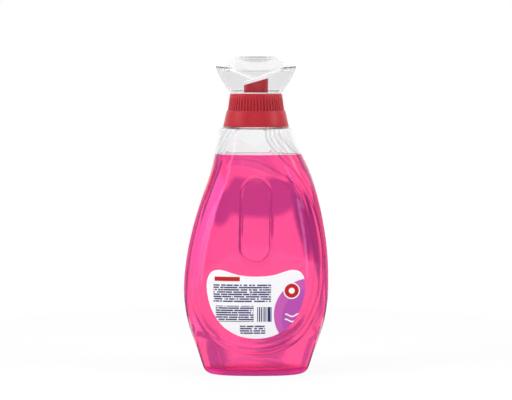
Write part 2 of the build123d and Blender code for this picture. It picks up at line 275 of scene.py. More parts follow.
# Label print. Discs are a middle and a radius, blocks are a low and a high corner.
PAPER = (0.93, 0.92, 0.95, 1)
NAVY = (0.028, 0.032, 0.155, 1)
PURPLE = (0.60, 0.10, 0.46, 1)
DEEP_PURPLE = (0.50, 0.07, 0.45, 1)
LABEL_RED = (0.56, 0.008, 0.010, 1)
FIELD = ((47, 55), 31.5)
DEEP_FIELD = ((50, 51), 27.5)
WAVE_FIELD = ((50, 51), 25.0)
WAVE_HEIGHTS = (50, 54.5)
WAVE_RATE = 0.55
WAVE_SWING = 1.1
WAVE_LINE = (0.85, 0.45)
RING_MIDDLE = (31, 76)
RING_DISCS = ((7.2, PAPER), (6.2, LABEL_RED), (2.6, PAPER))
RED_BAR = ((-36, 84.5), (-14, 88.3))
SMALL_PRINT = (((-37, 66), (13, 82), 0.3), ((-35, 49), (-2, 63), 4.7), ((-14, 38), (8, 46), 9.1))
PRINT_PITCH = 2.0
PRINT_RATE = 0.6
PRINT_ROW_SHIFT = 7.31
PRINT_INK = (0.36, 0.40)
PRINT_ROW_EDGES = ((0.1, 0.2), (0.85, 0.75))
STRIPES = ((1, 49), (14, 62))
STRIPE_RATE = 1.1
STRIPE_INK = (0.47, 0.5)
DISC_EDGE = 0.25
BLOCK_EDGE = 0.2
GLUED_SIDE = (-0.05, 0.05)
LABEL_ROUGHNESS = 0.38
LABEL_BUMP = (400, 0.1, 0.0002)

# Studio, in metres. Ranges run from none to full.
CAMERA_PLACE = (0, -1.513, 0.252)
CAMERA_AIM = (0, 0, 0.1529)
CAMERA_LENS = 120.6
BOUNCES = 24
GLOSSY_BOUNCES = 8
LAMPS = (("key_lamp", (-1.15, -0.55, 0.75), 14), ("fill_lamp", (1.15, -0.45, 0.7), 11))
LAMP_AIM = (0, 0, 0.18)
LAMP_SIZE = (0.5, 0.9)
SQUARE = ((-1, -1), (1, -1), (1, 1), (-1, 1))
FLOOR_HALF = 6.0
FLOOR_TINT = (0.97, 0.97, 0.97, 1)
FLOOR_ROUGHNESS = 0.9
FLOOR_SPECULAR = 0.1
FLOOR_WHITE = 0.9
FLOOR_FADE = (0.12, 0.5)
FLOOR_DROP = 0.0002
FLOOR_IN_REFLECTIONS = 0.12
FOOT_SHADOW = (0.02, 0.05)
FOOT_LIGHT = (0.8, 1.0, 2.0, 1)
WORLD_BACK = (-0.3, 0.5)
WORLD_FRONT = 0.4
WORLD_SIDES = (0.55, 0.85)
WORLD_SIDE = 0.4
WORLD_TOP = (0.45, 0.8)
MIRRORED_FRONT = (0.2, -0.3)
FRONT_IN_REFLECTIONS = 0.18
DIFFUSE_WORLD = 0.62
CARD_NOISE = 28
CARD_NOISE_DETAIL = 2.0
CARD_ROUNDNESS = 2.5
EMPTY_WALLS = 4

# Cards: name, middle, facing, width and height, colour, softness, unevenness, and what alone shows them.
VIOLET = (2.4, 1.1, 2.1)
PALE_VIOLET = (1.4, 1.2, 1.5)
BRIGHT = (2.5, 2.5, 2.5)
PINK_WHITE = (1.3, 1.27, 1.06)
GREEN_WHITE = (1.4, 1.75, 1.67)
PALE_CLOUD = (0.8, 0.62, 0.86)
CLOUD = (0.63, 0.49, 0.76)
DARK_CLOUD = (0.45, 0.3, 0.69)
DUSK = (0.41, 0.38, 0.61)
FORWARD = (0, -1, 0)
UP = (0, 0, 1)
FILLING, MIRRORS = "filling", "mirrors"
CARDS = (
    ("left_glow", (-1.0, -0.62, 0.2), (1.0, 0.62, -0.08), (0.2, 0.9), VIOLET, 0.6),
    ("right_glow", (0.9, -0.75, 0.25), (-0.9, 0.75, -0.13), (0.16, 0.9), VIOLET, 0.6),
    ("top_glow", (0, -1.05, 0.72), (0, 1.05, -0.64), (0.9, 0.14), PALE_VIOLET, 0.5),
    ("left_gleam", (-0.95, -0.17, 0.68), (0.95, 0.17, -0.455), (0.35, 0.5), BRIGHT, 0.5, 0.0, MIRRORS),
    ("right_gleam", (0.95, -0.17, 0.68), (-0.95, 0.17, -0.455), (0.35, 0.5), BRIGHT, 0.5, 0.0, MIRRORS),
    ("back_reflector", (0, 0.26, 0.08), FORWARD, (0.7, 0.18), PINK_WHITE, 0.15),
    ("bounce_card", (0, 0.11, 0.0005), UP, (0.4, 0.14), PINK_WHITE, 0.2),
    ("floor_shade", (0.045, 0.16, 0.001), UP, (0.1, 0.16), CLOUD, 0.5, 0.3, FILLING),
    ("low_shade", (0.036, 0.249, 0.008), FORWARD, (0.088, 0.046), CLOUD, 0.45, 0.4, FILLING),
    ("low_right_shade", (-0.08, 0.249, 0.028), FORWARD, (0.07, 0.044), PALE_CLOUD, 0.6, 0.5, FILLING),
    ("edge_shade", (0.126, 0.249, 0.105), FORWARD, (0.04, 0.13), DUSK, 0.4, 0.3, FILLING),
    ("band_glow", (0.075, 0.251, 0.084), FORWARD, (0.085, 0.1), GREEN_WHITE, 0.3),
    ("top_cloud", (0, 0.25, 0.131), FORWARD, (0.082, 0.048), CLOUD, 0.45, 0.2, FILLING),
    ("left_cloud", (0.024, 0.2485, 0.109), FORWARD, (0.044, 0.044), CLOUD, 0.5, 0.2, FILLING),
    ("right_cloud", (-0.028, 0.248, 0.096), FORWARD, (0.042, 0.072), DUSK, 0.5, 0.3, FILLING),
    ("far_cloud", (-0.064, 0.247, 0.077), FORWARD, (0.066, 0.07), DUSK, 0.4, 0.4, FILLING),
    ("left_flag", (0.25, 0.24, 0.09), FORWARD, (0.22, 0.24), DARK_CLOUD, 0.1, 0.0, FILLING),
    ("right_flag", (-0.25, 0.24, 0.09), FORWARD, (0.22, 0.24), DARK_CLOUD, 0.1, 0.0, FILLING),
)

# Mesh density: columns, and the heights above which the body's rows are spaced so far apart.
FRONT_COLUMNS = 160
BACK_COLUMNS = 84
FRONT_EVENNESS = 0.4
FINE_STEPS = 20
ROUND_COLUMNS = 192
ROW_SPACING = ((0.0, 0.6), (45.0, 2.5), (95.0, 0.8), (112.0, 2.2), (158.0, 0.8), (178.0, 0.9))
INSIDE_SPACING = 1.8
INSIDE_SOFTNESS = 2.5
THREAD_STEP = 0.4

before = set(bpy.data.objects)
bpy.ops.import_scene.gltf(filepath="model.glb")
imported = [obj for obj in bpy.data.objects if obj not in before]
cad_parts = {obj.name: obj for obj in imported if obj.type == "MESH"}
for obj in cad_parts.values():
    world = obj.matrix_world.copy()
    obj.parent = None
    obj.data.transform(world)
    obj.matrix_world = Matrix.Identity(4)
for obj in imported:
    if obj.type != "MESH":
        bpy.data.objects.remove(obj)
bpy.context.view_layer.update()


# Curves and distances


def natural_spline(knots, values):
    """Second derivatives of the natural cubic spline through values at knots, one column each."""
    count = len(knots)
    gaps = np.diff(knots)
    system = np.eye(count)
    right = np.zeros_like(values)
    for k in range(1, count - 1):
        system[k, k - 1:k + 2] = gaps[k - 1] / 6, (gaps[k - 1] + gaps[k]) / 3, gaps[k] / 6
        right[k] = (values[k + 1] - values[k]) / gaps[k] - (values[k] - values[k - 1]) / gaps[k - 1]
    return np.linalg.solve(system, right)


BENDS = natural_spline(SECTIONS[:, 0], SECTIONS[:, 1:])


def section(height):
    """Half width left and right, half depth and fullness of the body at each height."""
    knots, values = SECTIONS[:, 0], SECTIONS[:, 1:]
    height = np.asarray(height, float)
    k = np.clip(np.searchsorted(knots, height) - 1, 0, len(knots) - 2)
    gap = (knots[k + 1] - knots[k])[..., None]
    b = (height - knots[k])[..., None] / gap
    a = 1 - b
    curve = ((a**3 - a) * BENDS[k] + (b**3 - b) * BENDS[k + 1]) * gap**2 / 6
    return np.moveaxis(a * values[k] + b * values[k + 1] + curve, -1, 0)


def smooth_curve(points, closed, per_span):
    """Points along a Catmull-Rom curve through the given ones."""
    p = np.array(points, float)
    if closed:
        p = np.vstack([p[-1], p, p[:2]])
    else:
        p = np.vstack([2 * p[0] - p[1], p, 2 * p[-1] - p[-2]])
    t = np.linspace(0, 1, per_span, endpoint=False)[:, None]
    spans = []
    for a, b, c, d in zip(p, p[1:], p[2:], p[3:]):
        bend = (2 * a - 5 * b + 4 * c - d) * t**2 + (3 * b - a - 3 * c + d) * t**3
        spans.append(0.5 * (2 * b + (c - a) * t + bend))
    if not closed:
        spans.append(p[-2][None])
    return np.vstack(spans)


def inside_distance(curve, x, z):
    """Distance from each point to a closed curve, positive inside."""
    here = np.stack([x, z], -1)[..., None, :]
    a, b = curve, np.roll(curve, -1, 0)
    along = b - a
    share = np.clip(((here - a) * along).sum(-1) / (along**2).sum(-1), 0, 1)
    gap = np.sqrt(((here - a - share[..., None] * along) ** 2).sum(-1)).min(-1)
    crosses = (a[:, 1] > z[..., None]) != (b[:, 1] > z[..., None])
    at = a[:, 0] + (z[..., None] - a[:, 1]) * along[:, 0] / np.where(along[:, 1] == 0, 1e-9, along[:, 1])
    inside = (crosses & (x[..., None] < at)).sum(-1) % 2 == 1
    return np.where(inside, gap, -gap)


def ramp(distance, width, rounding):
    """A slope from 0 to 1 over width, with rounded ends."""
    soft = np.logaddexp(0, distance / rounding) - np.logaddexp(0, (distance - width) / rounding)
    return soft * rounding / width


# Bottle surface


PANEL_CURVE = smooth_curve(PANEL, True, OUTLINE_SPANS)
FRAME_CURVE = smooth_curve(FRAME, True, OUTLINE_SPANS)


def mark_gap(x, z):
    """Distance from the middle of the line that draws the long mark."""
    straight = (MARK_HEIGHT - MARK_WIDTH) / 2
    up = np.clip(z - MARK_MIDDLE, -straight, straight)
    return np.hypot(x, z - MARK_MIDDLE - up) - (MARK_WIDTH - MARK_LINE) / 2


def painted_crease_shading(x, z, front):
    """Painted shade: 1 along the lines where the plastic is folded, 0 between them."""
    panel = inside_distance(PANEL_CURVE, x, z)
    frame_edge = inside_distance(FRAME_CURVE, x, z)
    lines = [(panel, EDGE_CREASE), (panel - PANEL_BEVEL, FLOOR_CREASE), (frame_edge, EDGE_CREASE)]
    shade = sum(strength * np.exp(-(gap / CREASE_WIDTH) ** 2) for gap, strength in lines)
    shade = shade * np.clip(CREASE_MIDDLE + CREASE_GROWTH * x, CREASE_LEFT, 1)
    start = np.where(x > 0, FLOW_START[1], FLOW_START[0])
    flow = sum(np.exp(-((frame_edge + away) / FLOW_WIDTH) ** 2) for away in FLOW_LINES)
    shade = shade + FLOW_SHADE * flow * np.clip((z - start) / FLOW_FADE, 0, 1)
    shade = shade + MARK_SHADE * np.exp(-(mark_gap(x, z) / CREASE_WIDTH) ** 2)
    return np.where(front, np.clip(shade, 0, 1), 0)


def recess(x, z, front, deep):
    """How far the panel, its frame and the mark sink the surface, with softer edges deep in the wall."""
    soft = 1 + INSIDE_SOFTNESS * deep
    flat = FRAME_DEPTH * ramp(inside_distance(FRAME_CURVE, x, z), FRAME_EDGE * soft, FRAME_ROUND * soft)
    slope = ramp(inside_distance(PANEL_CURVE, x, z), PANEL_BEVEL, EDGE_ROUND * soft)
    groove = MARK_DEPTH / soft * np.exp(-(mark_gap(x, z) / (MARK_SHARPNESS * soft * MARK_LINE)) ** 2)
    return flat + (PANEL_DEPTH - FRAME_DEPTH) * slope + np.where(front, groove, 0)


def body_turns():
    """Angles of the body's columns, closer together on the front and partly evened out along its wall."""
    back = np.linspace(0, pi, BACK_COLUMNS, endpoint=False)
    front = np.linspace(pi, 2 * pi, FRONT_COLUMNS, endpoint=False)
    left, _, depth, fullness = section(MARK_MIDDLE)
    fine = np.linspace(pi, 2 * pi, FINE_STEPS * FRONT_COLUMNS)
    across = left * np.sign(np.cos(fine)) * np.abs(np.cos(fine)) ** (2 / fullness)
    along = depth * np.abs(np.sin(fine)) ** (2 / fullness)
    length = np.concatenate([[0], np.cumsum(np.hypot(np.diff(across), np.diff(along)))])
    even = np.interp(np.linspace(0, length[-1], FRONT_COLUMNS, endpoint=False), length, fine)
    return np.concatenate([back, front + FRONT_EVENNESS * (even - front)])


BODY_TURNS = body_turns()


def body_loop(height, inset, rounding=0.0):
    """One closed row of the body at a height, pulled in by inset and by an edge's rounding."""
    left, right, depth, fullness = section(height)
    across, along = np.cos(BODY_TURNS), np.sin(BODY_TURNS)
    reach = np.abs(across) ** (2 / fullness)
    back = np.abs(along) ** (2 / fullness)
    half = np.where(across > 0, right, left) - inset
    x = half * np.sign(across) * reach
    z = np.full(len(BODY_TURNS), float(height))
    pull = np.maximum(recess(x, z, along < 0, min(inset, WALL)), rounding)
    x = (half - pull) * np.sign(across) * reach
    y = (depth - inset - pull) * np.sign(along) * back
    return np.stack([x, y, z], -1)


def round_turns(columns):
    return 2 * pi * np.arange(columns) / columns


def oval_loop(half_width, half_depth, height, turn):
    """One closed elliptical row, at one height or at a height for each column."""
    heights = np.broadcast_to(np.asarray(height, float), turn.shape)
    return np.stack([half_width * np.cos(turn), half_depth * np.sin(turn), heights], -1)


def row_heights(low, high, wider):
    """Heights of the body's rows, closer together where its lines run level."""
    heights = [low]
    while heights[-1] < high:
        spacing = [step for start, step in ROW_SPACING if heights[-1] >= start][-1]
        heights.append(heights[-1] + wider * spacing)
    heights[-1] = high
    return heights


def body_rows(inset, floor, roof, wider):
    """Rows of the body from the middle of its base up to the roof, pulled in by inset."""
    rows = []
    rise, spread = PUSH_UP_RISE + floor, PUSH_UP_RISE * tan(PUSH_UP_DRAFT)
    top = (PUSH_UP[0] + floor - spread, PUSH_UP[1] + floor - spread)
    for share in PUSH_UP_TOP_SHARES:
        rows.append(oval_loop(top[0] * share, top[1] * share, rise, BODY_TURNS))
    for share in PUSH_UP_SIDE_SHARES:
        wide = (top[0] + spread * share, top[1] + spread * share)
        rows.append(oval_loop(*wide, rise + (floor - rise) * share, BODY_TURNS))
    heel = HEEL_RADIUS - inset
    ring = rows[-1]
    foot = body_loop(0.0, inset, heel)
    foot[:, 2] = floor
    for share in FOOT_RING_SHARES:
        rows.append(ring + (foot - ring) * share)
    for k in range(1, HEEL_STEPS):
        turn = pi / 2 * k / HEEL_STEPS
        rows.append(body_loop(floor + heel * (1 - cos(turn)), inset, heel * (1 - sin(turn))))
    for height in row_heights(floor + heel, roof, wider):
        rows.append(body_loop(height, inset))
    return rows


def shoulder_rows(inset):
    """Rows over the shoulder's rounding."""
    rows = []
    round_off = SHOULDER_ROUND - inset
    for k in range(1, SHOULDER_STEPS + 1):
        turn = pi / 2 * k / SHOULDER_STEPS
        height = SHOULDER_TOP - inset - round_off * (1 - sin(turn))
        rows.append(body_loop(height, inset, round_off * (1 - cos(turn))))
    return rows


def circle_rows(profile, turn):
    """Round rows for (radius, height) pairs."""
    return [oval_loop(radius, radius, height, turn) for radius, height in profile]


def thread_rows(radius, low, high, ridge, turn):
    """Rows of a threaded cylinder, with one helical ridge that starts just above its foot."""
    rows = []
    start = low + THREAD_START * THREAD_WIDTH
    for height in np.arange(low, high, THREAD_STEP):
        climb = (height - start) / THREAD_PITCH - turn / (2 * pi)
        run = np.clip(np.round(climb), 0, THREAD_TURNS - turn / (2 * pi)) + turn / (2 * pi)
        gap = height - start - run * THREAD_PITCH
        ends = np.clip(run / THREAD_FADE, 0, 1) * np.clip((THREAD_TURNS - run) / THREAD_FADE, 0, 1)
        here = radius + ridge * ends * np.exp(-(gap / THREAD_WIDTH) ** 4)
        rows.append(oval_loop(here, here, height, turn))
    return rows


# Meshes


def add_object(name, data):
    made = bpy.data.objects.new(name, data)
    bpy.context.scene.collection.objects.link(made)
    return made


def grid_object(name, rows, wrap=False):
    """A mesh object of closed rows, joined in order, with the ends joined or closed by fans."""
    columns = len(rows[0])
    points = np.vstack(rows) * MM
    faces = []
    pairs = [(k, k + 1) for k in range(len(rows) - 1)]
    if wrap:
        pairs.append((len(rows) - 1, 0))
    for low, high in pairs:
        for i in range(columns):
            j = (i + 1) % columns
            faces.append((low * columns + i, low * columns + j, high * columns + j, high * columns + i))
    if not wrap:
        middle, last = len(points), len(points) - columns
        points = np.vstack([points, rows[0].mean(0) * MM, rows[-1].mean(0) * MM])
        faces += [(middle, (i + 1) % columns, i) for i in range(columns)]
        faces += [(middle + 1, last + i, last + (i + 1) % columns) for i in range(columns)]
    mesh = bpy.data.meshes.new(name)
    mesh.from_pydata(points.tolist(), [], faces)
    mesh.validate()
    mesh.shade_smooth()
    return add_object(name, mesh)


def set_points(piece, name, values):
    """Stores one number for each point of a mesh, from its first point on."""
    numbers = np.zeros(len(piece.data.vertices))
    numbers[:len(values)] = values
    piece.data.attributes.new(name, "FLOAT", "POINT").data.foreach_set("value", numbers)


def place(piece, body, slot, material, *nodes):
    """Rides a piece on its body, in place of the CAD nodes it stands for."""
    piece.data.materials.append(material)
    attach(piece, body)
    if nodes:
        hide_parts(*nodes)
    return piece


# Bottle and filling


def neck_rows():
    """Rows of the neck, from the shoulder up over its ring and thread and down its bore to the inside."""
    low, high, ring = NECK_RING
    flare, flare_middle = NECK_FLARE
    above, below = NECK_THREAD_MARGINS
    foot = [
        (SHOULDER_LAND_R, SHOULDER_TOP), (NECK_OUTER + flare, SHOULDER_TOP),
        (NECK_OUTER + flare_middle, SHOULDER_TOP + flare_middle), (NECK_OUTER, SHOULDER_TOP + flare),
        (NECK_OUTER, low - NECK_CORNER), (NECK_OUTER + NECK_CORNER, low),
        (ring - RING_EDGE, low), (ring, low + RING_EDGE), (ring, high - RING_EDGE), (ring - RING_EDGE, high),
        (NECK_OUTER + NECK_CORNER, high), (NECK_OUTER, high + NECK_CORNER),
    ]
    mouth = [
        (NECK_OUTER, NECK_TOP - MOUTH_EDGE), (NECK_OUTER - MOUTH_EDGE, NECK_TOP),
        (NECK_INNER + MOUTH_EDGE, NECK_TOP), (NECK_INNER, NECK_TOP - MOUTH_EDGE), (NECK_INNER, SHOULDER_TOP),
        (NECK_INNER + NECK_INSIDE_FLARE, SHOULDER_TOP - WALL), (SHOULDER_LAND_R, SHOULDER_TOP - WALL),
    ]
    thread = thread_rows(NECK_OUTER, high + above, NECK_TOP - below, THREAD_HEIGHT, BODY_TURNS)
    return circle_rows(foot, BODY_TURNS) + thread + circle_rows(mouth, BODY_TURNS)


def make_bottle(material):
    rows = body_rows(0, 0, SHOULDER_TOP - SHOULDER_ROUND, 1) + shoulder_rows(0) + neck_rows()
    inner = body_rows(WALL, BASE_WALL, SHOULDER_TOP - SHOULDER_ROUND, INSIDE_SPACING) + shoulder_rows(WALL)
    outside = np.vstack(rows)
    lines = painted_crease_shading(outside[:, 0], outside[:, 2], outside[:, 1] < 0)
    rows += inner[::-1]
    piece = grid_object("bottle_shell", rows)
    # Painted shade along the folds, the mark and the flow lines.
    set_points(piece, "painted_crease_shade", lines)
    # Painted pink shade and haze at the heel.
    set_points(piece, "heel", HEEL_PAINTED_HAZE * np.exp(-(outside[:, 2] / HEEL_PAINTED_HAZE_HEIGHT) ** 4))
    return place(piece, "bottle", "bottle_plastic", material, "bottle")


def make_detergent(material):
    inset = WALL - LIQUID_LAP
    rows = body_rows(inset, BASE_WALL - LIQUID_LAP, FILL_HEIGHT + MENISCUS_RISE, INSIDE_SPACING)
    for k in range(1, MENISCUS_STEPS + 1):
        away = k / MENISCUS_STEPS
        loop = body_loop(FILL_HEIGHT, inset + MENISCUS_WIDTH * away)
        loop[:, 2] = FILL_HEIGHT + MENISCUS_RISE * (1 - away) ** 3
        rows.append(loop)
    edge = rows[-1]
    for share in LIQUID_TOP_SHARES:
        rows.append(edge * (share, share, 1))
    return place(grid_object("detergent_liquid", rows), "bottle", "liquid", material, "detergent")


# Label


def panel_point(x, z, inset):
    """Y of the front panel's floor at (x, z), pulled in by inset."""
    left, right, depth, fullness = section(z)
    half = np.where(x > 0, right, left) - inset
    return -(depth - inset) * (1 - np.abs(x / half) ** fullness) ** (1 / fullness)


def label_outline():
    left = [(-x, z) for x, z in reversed(LABEL_SIDE)]
    return smooth_curve([(0, LABEL_DIP), *LABEL_SIDE, (0, LABEL_FOOT), *left], True, LABEL_SPANS)


def make_label(material):
    outline = label_outline()
    middle = np.array([0, LABEL_MIDDLE])
    rows = []
    under = PANEL_DEPTH - LABEL_GAP
    layers = [(share, under - LABEL_THICKNESS) for share in LABEL_SHARES]
    layers += [(share, under) for share in reversed(LABEL_SHARES)]
    for share, inset in layers:
        flat = middle + (outline - middle) * share
        y = panel_point(flat[:, 0], flat[:, 1], inset)
        rows.append(np.stack([flat[:, 0], y, flat[:, 1]], -1))
    piece = grid_object("printed_label", rows)
    return place(piece, "bottle", "label_film", material, "back_label")


# Collar


def drill(piece, middle, radius, depth):
    """Cuts a round upright hole through a piece."""
    place_at = [value * MM for value in middle]
    bpy.ops.mesh.primitive_cylinder_add(vertices=DRAIN_COLUMNS, radius=radius * MM, depth=depth * MM,
                                        location=place_at)
    cutter = bpy.context.object
    hole = piece.modifiers.new("hole", "BOOLEAN")
    hole.operation = "DIFFERENCE"
    hole.object = cutter
    made = bpy.data.meshes.new_from_object(piece.evaluated_get(bpy.context.evaluated_depsgraph_get()))
    piece.modifiers.clear()
    piece.data = made
    bpy.data.objects.remove(cutter)


COLLAR_TURNS = round_turns(RIBS * RIB_STEPS)
RIB_GROOVES = np.abs(np.cos(COLLAR_TURNS * RIBS / 2)) ** RIB_SHARPNESS


def rib_fade(share):
    """1 on the lower part of the grip, falling to 0 where its grooves end."""
    return np.clip((RIB_TOP - share) / RIB_FADE, 0, 1)


def skirt_rows():
    """Rows up the outside of the flared skirt to its ledge."""
    profile = [(SKIRT_BOTTOM_R - SKIRT_WALL, COLLAR_BOTTOM)]
    profile += [(SKIRT_BOTTOM_R - inwards, COLLAR_BOTTOM + up) for inwards, up in SKIRT_SIDE]
    profile += [(SKIRT_TOP_R - inwards, LEDGE - down) for inwards, down in SKIRT_TOP]
    return circle_rows(profile, COLLAR_TURNS)


def grip_rows():
    """Rows up the grip, with grooves that fade out below its rounded top edge."""
    rows = []
    for share in GRIP_SHARES:
        fade = rib_fade(share)
        edge = min(1.0, max(0.0, share - GRIP_EDGE_START) / (1 - GRIP_EDGE_START))
        radius = GRIP_BOTTOM_R + (GRIP_TOP_R - GRIP_BOTTOM_R) * share - GRIP_EDGE * (1 - sqrt(1 - edge**2))
        radius = radius - RIB_DEPTH * RIB_GROOVES * fade * fade * (3 - 2 * fade)
        rows.append(oval_loop(radius, radius, LEDGE + (COLLAR_TOP - LEDGE) * share, COLLAR_TURNS))
    return rows


def spout_rows():
    """Rows down into the well, up the spout, over its slanted lip and down its bore."""
    low, high = WELL_FLOOR
    inner, outer = SPOUT_R
    across, up = WELL_CORNER
    rows = circle_rows([
        (WELL_R + WELL_EDGE, COLLAR_TOP), (WELL_R, COLLAR_TOP - WELL_EDGE), (WELL_R, high + up),
        (WELL_R - across, high), (outer + SPOUT_CORNER[1], high), (outer, high + SPOUT_CORNER[1]),
    ], COLLAR_TURNS)
    lip = [(outer - inwards, drop) for inwards, drop in SPOUT_LIP_OUTSIDE]
    lip += [(inner + outwards, drop) for outwards, drop in SPOUT_LIP_INSIDE]
    for radius, drop in lip:
        height = low + SPOUT_RISE + radius * np.cos(COLLAR_TURNS) * tan(SPOUT_LIP) - drop
        rows.append(oval_loop(radius, radius, height, COLLAR_TURNS))
    return rows + circle_rows([(inner, low), (inner + SPOUT_CORNER[0], low)], COLLAR_TURNS)


def collar_inside_rows():
    """Rows under the well, round the threaded wall and up inside the skirt."""
    low = WELL_FLOOR[0]
    inner, outer = THREAD_WALL
    ceiling = LEDGE - SKIRT_WALL
    return circle_rows([
        (inner - COLLAR_CORNER, low), (inner, low - COLLAR_CORNER), (inner, low - THREAD_WALL_DROP),
        (outer, low - THREAD_WALL_DROP), (outer, ceiling - COLLAR_CORNER), (outer + COLLAR_CORNER, ceiling),
        (SKIRT_TOP_R - SKIRT_WALL, ceiling),
    ], COLLAR_TURNS)


def collar_painted_shade(points):
    """Painted shade, dark down in the grip's grooves and even on the spout."""
    radius = np.hypot(points[:, 0], points[:, 1])
    share = (points[:, 2] - LEDGE) / (COLLAR_TOP - LEDGE)
    outside = (radius > GRIP_INSIDE_R) & (share > 0) & (share < 1)
    deep = np.tile(RIB_GROOVES, len(points) // len(RIB_GROOVES)) * rib_fade(share)
    spout = (radius < SPOUT_R[1] + COLLAR_CORNER) & (points[:, 2] > WELL_FLOOR[1])
    return np.where(spout, SPOUT_PAINTED_SHADE, np.where(outside, deep, 0))


def make_collar(material):
    rows = skirt_rows() + grip_rows() + spout_rows() + collar_inside_rows()
    piece = grid_object("ribbed_pour_collar", rows, wrap=True)
    # Painted shade in the grooves and on the spout.
    set_points(piece, "groove", collar_painted_shade(np.vstack(rows)))
    drill(piece, (DRAIN_PLACE, 0, WELL_FLOOR[0]), DRAIN_R, DRAIN_CUT)
    return place(piece, "collar", "collar_plastic", material, "pour_spout_collar")


# Dosing cap


def circle_through(a, b, c):
    """Centre and radius of the circle through three points."""
    a, b, c = np.array(a), np.array(b), np.array(c)
    system = 2 * np.array([b - a, c - a])
    centre = np.linalg.solve(system, [b @ b - a @ a, c @ c - a @ a])
    return centre, np.linalg.norm(a - centre)


BOWL_CENTRE, BOWL_RADIUS = circle_through(*BOWL_ARC)
ROUND_TURNS = round_turns(ROUND_COLUMNS)


def bowl_radius(height, inset):
    return BOWL_CENTRE[0] + np.sqrt((BOWL_RADIUS - inset) ** 2 - (height - BOWL_CENTRE[1]) ** 2)


def rim_height(x):
    """Height of the sagging rim above a point across the cap."""
    reach = BOWL_ARC[-1][0]
    sweep = (reach**2 + RIM_SAG**2) / (2 * RIM_SAG)
    return BOWL_ARC[-1][1] - RIM_LAND - RIM_SAG + sweep - np.sqrt(sweep**2 - x**2)


def sweep_lines(x, z, y):
    """Distances above the two lines that sweep across the bowl, the right one first."""
    side = np.where(y < 0, 1, -1)
    rise, slant = SWEEP_RIGHT
    right = (z - CAP_FOOT - rise) * cos(slant) - side * x * sin(slant)
    rise, slant = SWEEP_LEFT
    left = (z - CAP_FOOT - rise) * cos(slant) + side * x * sin(slant)
    return right, left


def sweep_depth(x, z, y):
    """How far the wedge between the two sweeping lines is sunk at a point of the bowl."""
    right, left = sweep_lines(x, z, y)
    return SWEEP_DEPTH * np.minimum(ramp(right, SWEEP_RAMP, SWEEP_ROUND), ramp(left, SWEEP_RAMP, SWEEP_ROUND))


def sweep_painted_highlight(points):
    """Painted highlight: 1 along the crests of the sweeping lines, 0 away from them."""
    x, y, z = points.T
    right, left = sweep_lines(x, z, y)
    crest = SWEEP_RAMP / 2
    lead, fade = SWEEP_RIGHT_FADE
    first = np.exp(-((right - crest) / SWEEP_LINE) ** 2) * np.clip((left + lead) / fade, 0, 1)
    lead, fade = SWEEP_LEFT_FADE
    second = np.exp(-((left - crest) / SWEEP_LINE) ** 2) * np.clip((right + lead) / fade, 0, 1)
    return np.maximum(first, second)


def rim_lines(points):
    """Two painted marks along the rim, each 0 below it: a painted shade full at the rim's tips, and a painted
    highlight full along its middle.
    """
    x, _, z = points.T
    reach = BOWL_ARC[-1][0]
    near = np.exp(-((z - rim_height(np.clip(x, -reach, reach))) / RIM_LINE) ** 2)
    tips = np.clip((np.abs(x) - RIM_MIDDLE) / RIM_FADE, 0, 1)
    return near * tips, near * (1 - tips)


def foot_painted_highlight(points):
    """Painted highlight, white at the foot of the bowl on either side of the spout, and 0 on the skirt below
    it.
    """
    x, _, z = points.T
    near = FOOT_PAINTED_HIGHLIGHT * np.exp(-((z - CAP_FOOT) / FOOT_PAINTED_HIGHLIGHT_HEIGHT) ** 2)
    beside = np.clip((np.abs(x) - SPOUT_R[1]) / FOOT_PAINTED_HIGHLIGHT_FADE, 0, 1)
    return np.where(z > CAP_FOOT + CAP_CORNER, near * beside, 0)


def bowl_loop(share, inset, low=CAP_FOOT):
    """A row of the bowl, from share 0 at the low height to 1 at its sagging rim, with its outside sunk."""
    x = BOWL_ARC[-1][0] * np.cos(ROUND_TURNS)
    z = low + (rim_height(x) - low) * share
    radius = bowl_radius(z, inset)
    sunk = sweep_depth(radius * np.cos(ROUND_TURNS), z, radius * np.sin(ROUND_TURNS))
    radius = radius - sunk * (1 - inset / CAP_WALL)
    return oval_loop(radius, radius, z, ROUND_TURNS)


def bowl_outside_rows():
    """Rows from the skirt's foot up over its thread, the flange and the bowl to the top of the lip."""
    low, inner = CAP_SKIRT_BOTTOM, CAP_SKIRT_R - CAP_WALL
    above, below = CAP_THREAD_MARGINS
    rows = circle_rows([
        (inner, low + CAP_EDGE), (inner + CAP_EDGE, low), (CAP_SKIRT_R - CAP_EDGE, low),
        (CAP_SKIRT_R, low + CAP_EDGE),
    ], ROUND_TURNS)
    rows += thread_rows(CAP_SKIRT_R, low + above, CAP_FOOT - below, CAP_THREAD_HEIGHT, ROUND_TURNS)
    rows += circle_rows([
        (CAP_SKIRT_R, CAP_FOOT - CAP_CORNER), (CAP_SKIRT_R + CAP_CORNER, CAP_FOOT),
        (BOWL_ARC[0][0] - CAP_EDGE, CAP_FOOT),
    ], ROUND_TURNS)
    rows += [bowl_loop(share, 0) for share in BOWL_SHARES]
    return rows + [bowl_loop(1 - LIP_ROUND * (inset - CAP_WALL / 2) ** 2, inset) for inset in LIP_INSETS]


def bowl_inside_rows():
    """Rows down inside the lip, round the lid's seat and down to the bore of the skirt."""
    rows = [bowl_loop(share, CAP_WALL, LID_SEAT) for share in LIP_INSIDE_SHARES]
    seat = bowl_radius(LID_SEAT, CAP_WALL) - LID_SEAT_WIDTH
    floor, bore = CAP_FOOT + CAP_WALL, CAP_SKIRT_R - CAP_WALL
    heights = np.linspace(LID_SEAT - 2 * LID_SEAT_WIDTH, floor + BOWL_FLOOR_ROUND, BOWL_INSIDE_ROWS)
    profile = [(seat + SEAT_EDGE, LID_SEAT), (seat, LID_SEAT - SEAT_EDGE)]
    profile += [(bowl_radius(height, CAP_WALL), height) for height in heights]
    profile += [(bore + BOWL_FLOOR_ROUND, floor), (bore, floor - BOWL_FLOOR_ROUND)]
    return rows + circle_rows(profile, ROUND_TURNS)


